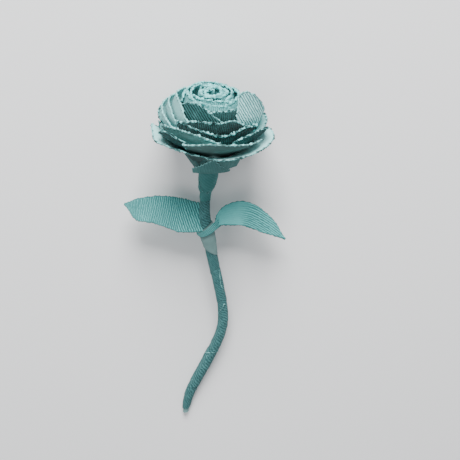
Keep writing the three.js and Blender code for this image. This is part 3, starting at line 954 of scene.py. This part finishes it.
# %% Plans of the wrapped lengths
BORE, WRAP, NECK = 2.1, 3.2, 5.7
WRAPS = {
    "foot_wrap": [(2.4, 0.022), (WRAP - 0.3, 0.075), (WRAP - 0.1, 0.12)],
    "lower_wrap": [(WRAP, 0.122), (WRAP + 0.15, 0.2), (WRAP + 0.1, 0.292)],
    "middle_wrap": [(WRAP, 0.294), (WRAP - 0.1, 0.4), (WRAP - 0.3, 0.5)],
    "joint_wrap": [(WRAP - 0.25, 0.502), (WRAP - 0.15, 0.6), (WRAP, 0.7)],
    "leaf_band": [(WRAP + 0.3, 0.702), (WRAP + 1.2, 0.75), (WRAP + 1.3, 0.785), (WRAP + 0.9, 0.8)],
    "upper_wrap": [(WRAP, 0.802), (WRAP - 0.3, 0.9)],
    "neck_wrap": [(WRAP - 0.2, 0.902), (WRAP + 0.1, 0.932), (WRAP + 1.4, 0.95),
                  (NECK - 0.3, 0.985), (NECK, 1.022)],
}
SLANTS = [(0, 0.3), (0.12, 0.6), (0.29, 0.7), (0.5, 0.6), (0.7, -0.9), (0.8, 0.66),
          (0.9, 0.3), (1.02, 0), (2, 0)]


def slant_at(share):
    for (s0, a), (s1, b) in zip(SLANTS, SLANTS[1:]):
        if share <= s1:
            return lerp(a, b, max(0, share - s0) / (s1 - s0))
    return 0


def on_stem(height, angle, radius):
    """A point round the stem; angle 0 faces the front, and the seam is at the back."""
    sideways = radius * math.sin(angle)
    middle, along = stem_at(height + slant_at((height - FOOT_Z) / STEM_LENGTH) * sideways)
    side = Vector((along.z, 0, -along.x)).normalized()
    back = along.cross(side)
    return middle + (side * math.sin(angle) - back * math.cos(angle)) * radius


def profile_radius(profile, share):
    for (r0, s0), (r1, s1) in zip(profile, profile[1:]):
        if share <= s1:
            return lerp(r0, r1, max(0, (share - s0) / (s1 - s0)))
    return profile[-1][0]


print("neck at the calyx:", round(2 * profile_radius(WRAPS["neck_wrap"], 1), 1), "mm thick")

# %% [markdown]
# ## The wrapped lengths
# Each length is a grid bent into a closed sleeve round the rolled core. Its ribs
# slant because the strip is wound at an angle, and the strip's edge shows as a low
# step that climbs round the stem, rubbed pale in places. Both ends turn in to the
# bore, and the last rows run back inside it, which closes the sleeve.

# %% Wrapped lengths
WINDING = 17.0
STEP, BAND_STEP = 0.22, 0.1
STRIP_RIBS, BAND_RIBS = 42, -80
SLEEVE_COLUMNS, SLEEVE_ROWS_PER_MM = 72, 2.4


def wrapped_length(name, profile, paper, seed, step=STEP, ribs_at=STRIP_RIBS):
    low, high = profile[0][1], profile[-1][1]
    length = (high - low) * STEM_LENGTH
    turn = math.radians(ribs_at)

    def form(u, v):
        if v > 0.94:
            share, radius = lerp(high, low, (v - 0.94) / 0.06), BORE
        else:
            share = lerp(low - 0.0008, high + 0.0008, min(max((v - 0.03) / 0.88, 0), 1))
            end = min(v / 0.03, (0.94 - v) / 0.03, 1)
            height = share * STEM_LENGTH
            climb = (height / WINDING - u / 2 + seed * 0.37) % 1
            skin = profile_radius(profile, share) + step * (smooth(climb * 12) * (1 - climb) - 0.5)
            skin += 0.12 * ripple(u * 4, height, seed, 2.2)
            radius = lerp(BORE, skin, math.sqrt(max(end, 0)))
        return on_stem(FOOT_Z + share * STEM_LENGTH, math.pi * u, radius)

    def paper_map(u, v):
        x, y = u * math.pi * WRAP, v * length / 0.86 + seed * 4
        share = min(max((v - 0.04) / 0.86, 0), 1)
        climb = (share * length / WINDING + low * STEM_LENGTH / WINDING - u / 2 + seed * 0.37) % 1
        worn = 1 - smooth(min(climb, 1 - climb) * WINDING / 0.8)
        worn *= smooth(ripple(u * 3, y, seed + 9, 3) * 3)
        return (x * math.cos(turn) + y * math.sin(turn), y * math.cos(turn) - x * math.sin(turn),
                worn * 0.3)

    bm = bmesh.new()
    made = grid_sheet(bm, SLEEVE_COLUMNS, int(length * SLEEVE_ROWS_PER_MM), form, paper_map)
    bmesh.ops.remove_doubles(bm, verts=made, dist=0.002)
    bmesh.ops.recalc_face_normals(bm, faces=bm.faces)
    paper_piece(name + "_sleeve", name, bm, [paper])


for number, (name, profile) in enumerate(WRAPS.items()):
    if name == "leaf_band":
        wrapped_length(name, profile, band_paper, number, BAND_STEP, BAND_RIBS)
    else:
        wrapped_length(name, profile, neck_paper if name == "neck_wrap" else stem_paper, number)
print("wrapped lengths made:", len(WRAPS))

# %% [markdown]
# ## Torn edges on the stem
# The strip's torn edge is rolled and shows as pale lumps in a few places. Each is a
# bead through places on the stem, given as shares of the height and degrees round
# it, where 0 is the front.

# %% Torn edges on the stem
STRIP_BEAD = 0.3
STRIP_EDGES = {
    "neck_wrap": [(0.985, -62), (0.968, -52), (0.952, -38), (0.942, -15), (0.938, 25)],
    "joint_wrap": [(0.645, 62), (0.62, 48), (0.585, 36), (0.56, 32), (0.545, 56)],
    "middle_wrap": [(0.498, 60), (0.485, 20), (0.465, -25), (0.44, -80)],
    "lower_wrap": [(0.29, 70), (0.285, 25), (0.278, -20), (0.268, -70)],
}
for number, (name, places) in enumerate(STRIP_EDGES.items()):
    shares, turns = zip(*places)

    def along_stem(q, name=name, shares=shares, turns=turns):
        share = between(shares, q)
        angle = math.radians(between(turns, q))
        lowered = slant_at(share) * WRAP * math.sin(angle)
        radius = profile_radius(WRAPS[name], share) + THINNEST_BEAD
        return on_stem(FOOT_Z + share * STEM_LENGTH - lowered, angle, radius)

    strip = bmesh.new()
    bead(strip, along_stem, 60, STRIP_BEAD, 80 + number)
    paper_piece(name + "_torn_edge", name, strip, [stem_paper], stands_for=False)
print("torn edges on the stem:", len(STRIP_EDGES))

# %% [markdown]
# ## Making a leaf
# Each leaf is one piece of crepe. The blade follows a bent middle line, leans about
# it, and has a width at even stations, with a second row for its lower half. The
# ribs are real waves in the sheet here, because a leaf is seen large and close by,
# and a leaf may have a plain part where they are pressed flat. *Plain* gives the
# shares of the length where they begin to rise and are full, and their height before.

# %% Leaf maker
HALF_LEAF = 9.5
LEAF_COLUMNS, LEAF_ROWS = 64, 220
LEAF_BEAD = 0.3
ALL_RIBBED = (0, 1, 1)


def leaf(name, line, tilt, widths, lower, seed, ribs_at, length, paper, pitch, plain=ALL_RIBBED):
    points = [Vector(p) for p in line]

    def frame_at(v):
        along = (curve_at(points, min(v + 0.002, 1)) - curve_at(points, max(v - 0.002, 0))).normalized()
        lean = math.radians(between(tilt, v))
        across = Vector((0, math.cos(lean), math.sin(lean)))
        across = (across - along * across.dot(along)).normalized()
        return curve_at(points, v), across, along.cross(across), HALF_LEAF * between(widths, v)

    turn = math.radians(ribs_at)

    def flat_map(u, v):
        x, y = u * HALF_LEAF * between(widths, v), v * length
        return x * math.cos(turn) + y * math.sin(turn), y * math.cos(turn) - x * math.sin(turn)

    def ribbed(v):
        return lerp(plain[2], 1, smooth((v - plain[0]) / (plain[1] - plain[0])))

    def form(u, v):
        middle, across, face, half = frame_at(v)
        half *= between(lower, v) if u < 0 else 1
        half *= 1 + 0.035 * abs(u) ** 6 * ripple(v * 80, u * 3, seed)
        wave = 0.1 * pitch * ribbed(v) * math.sin(flat_map(u, v)[0] * 2 * math.pi / pitch)
        sway = 0.35 * ripple(v * 5, u * 1.2, seed + 2)
        return middle + across * (u * half) + face * (0.5 * (1 - u * u) * half * 0.2 + wave + sway)

    def paper_map(u, v):
        edge = min((1 - abs(u)) * HALF_LEAF * between(widths, v), (1 - v) * length)
        return *flat_map(u, v), 0.8 * (1 - smooth(edge / 0.5)), 1 - ribbed(v)

    bm = bmesh.new()
    grid_sheet(bm, LEAF_COLUMNS, LEAF_ROWS, form, paper_map)
    paper_piece(name + "_blade", name, bm, [paper], PAPER)
    edge = bmesh.new()
    for side in (-1, 1):
        bead(edge, lambda q, side=side: form(side, q), int(length * 3), LEAF_BEAD, seed + side)
    paper_piece(name + "_cut_edge", name, edge, [paper], stands_for=False)


print("a leaf's sheet has", LEAF_COLUMNS * LEAF_ROWS, "faces")

# %% [markdown]
# ## The two leaves
# Both leaves are glued to the pale band. The left one is straight and cut on the
# bias, so its ribs cross it at a slant. The right one arches and hangs down, its
# ribs run towards the tip, and the first half of it is pressed nearly flat.

# %% Leaves
LEAF_Z = FOOT_Z + 0.79 * STEM_LENGTH
leaf_start = stem_at(LEAF_Z)[0]
BAND_STANDS_OUT, GLUE_GAP = 1.3, 0.3
ROOT = WRAP + BAND_STANDS_OUT + GLUE_GAP
LEFT_REACH, RIGHT_REACH, ROOT_OVERLAP = 42, 40, 1.1
left_line = [
    (leaf_start.x - ROOT + ROOT_OVERLAP + k * LEFT_REACH, y, LEAF_Z + z)
    for k, y, z in ((0.07, 1.5, 5.6), (-0.28, 1.5, 7.5), (-0.55, 1.5, 10), (-0.8, 1, 12.5), (-1, 0, 15))
]
right_line = [
    (leaf_start.x + ROOT + k * RIGHT_REACH, y, LEAF_Z + z)
    for k, y, z in ((0, 0, 1.5), (0.13, -0.5, 6.5), (0.42, -1, 8.5), (0.75, -2, 2), (1, -3, -5.5))
]
leaf("leaf_left", left_line, tilt=[50, 50, 48, 45, 40], widths=[0.84, 1.02, 1.02, 0.84, 0.5, 0.05],
     lower=[1, 1, 0.85, 0.95, 1.5, 1.3], seed=61, ribs_at=-72, length=43,
     paper=leaf_fine, pitch=LEAF_FINE_PITCH)
leaf("leaf_right", right_line, tilt=[50, 50, 50, 48, 45], widths=[0.12, 0.5, 0.8, 0.78, 0.5, 0.04],
     lower=[1, 0.8, 0.75, 0.8, 0.8, 0.8], seed=71, ribs_at=0, length=43,
     paper=leaf_coarse, pitch=LEAF_COARSE_PITCH, plain=(0.42, 0.6, 0.1))
print("leaf tips at", [round(line[-1][0]) for line in (left_line, right_line)], "mm sideways")

# %% [markdown]
# ## The right leaf's root
# The right leaf is folded to a narrow strip at its root, which crosses the front of
# the band from the left. It is a small grid of its own along a line of five places,
# a little wider where it meets the blade.

# %% Root of the right leaf
root_line = [Vector((leaf_start.x + x, y, LEAF_Z + z)) for x, y, z in (
    (-5.2, -1.6, -2.4), (-3.0, -4.7, -2.0), (0.6, -5.6, -0.1), (4.2, -4.0, 2.3), (7.4, -0.8, 3.8))]
ROOT_HALF_WIDTHS = [0.7, 1.4, 1.8, 2.0, 2.2]


def root_form(u, v):
    along = (curve_at(root_line, min(v + 0.01, 1)) - curve_at(root_line, max(v - 0.01, 0))).normalized()
    across = along.cross(Vector((0, -1, 0))).normalized()
    return curve_at(root_line, v) - across * u * between(ROOT_HALF_WIDTHS, v)


root = bmesh.new()
grid_sheet(root, 12, 30, root_form, lambda u, v: (u * 2.5, v * 13, 0.4 * smooth(abs(u) * 5 - 4)))
paper_piece("leaf_right_root", "leaf_right", root, [leaf_fine], PAPER, stands_for=False)
print("root is", 2 * ROOT_HALF_WIDTHS[-1], "mm wide at the blade")

# %% [markdown]
# ## The wire
# The wire in the stem is only seen as a small disc at the cut end. It is drawn
# steel, slightly uneven in colour and gloss, from one noise on Object coordinates.

# %% Finish of the wire
wire_finish = bpy.data.materials.new("wire_finish")
wire_finish.use_nodes = True
wire_tree = wire_finish.node_tree
steel = wire_tree.nodes["Principled BSDF"]
steel.inputs["Metallic"].default_value = 1.0
place = wire_tree.nodes.new("ShaderNodeTexCoord")
drawn = noise_node(wire_tree, place.outputs["Object"], 900, 3)
wire_tree.links.new(mix_colour(wire_tree, drawn, (0.28, 0.27, 0.26), (0.5, 0.49, 0.47)),
                    steel.inputs["Base Color"])
wire_tree.links.new(maths(wire_tree, "ADD", maths(wire_tree, "MULTIPLY", drawn, 0.3), 0.3),
                    steel.inputs["Roughness"])

print("wire finish made:", wire_finish.name)

# %% [markdown]
# ## The rolled core
# The paper rolled round the wire is fibrous and has no ribs. Wire and core keep
# their CAD meshes, which are already the right shape, and only get their finishes.

# %% Finish of the core
core_finish = bpy.data.materials.new("core_paper")
core_finish.use_nodes = True
core_tree = core_finish.node_tree
paper_shader = core_tree.nodes["Principled BSDF"]
place = core_tree.nodes.new("ShaderNodeTexCoord")
fibre = noise_node(core_tree, place.outputs["Object"], 1400, 4, 0.6)
core_tree.links.new(mix_colour(core_tree, fibre, (0.09, 0.2, 0.2), (0.26, 0.45, 0.44)),
                    paper_shader.inputs["Base Color"])
core_bump = core_tree.nodes.new("ShaderNodeBump")
core_bump.inputs["Distance"].default_value = 0.0003
core_tree.links.new(fibre, core_bump.inputs["Height"])
core_tree.links.new(core_bump.outputs["Normal"], paper_shader.inputs["Normal"])
paper_shader.inputs["Roughness"].default_value = 0.85

for node, finish in (("stem_wire", wire_finish), ("stem_core", core_finish)):
    carried = bpy.data.objects[node]
    carried.data.materials.clear()
    carried.data.materials.append(finish)
print("finishes set on the wire and the core")
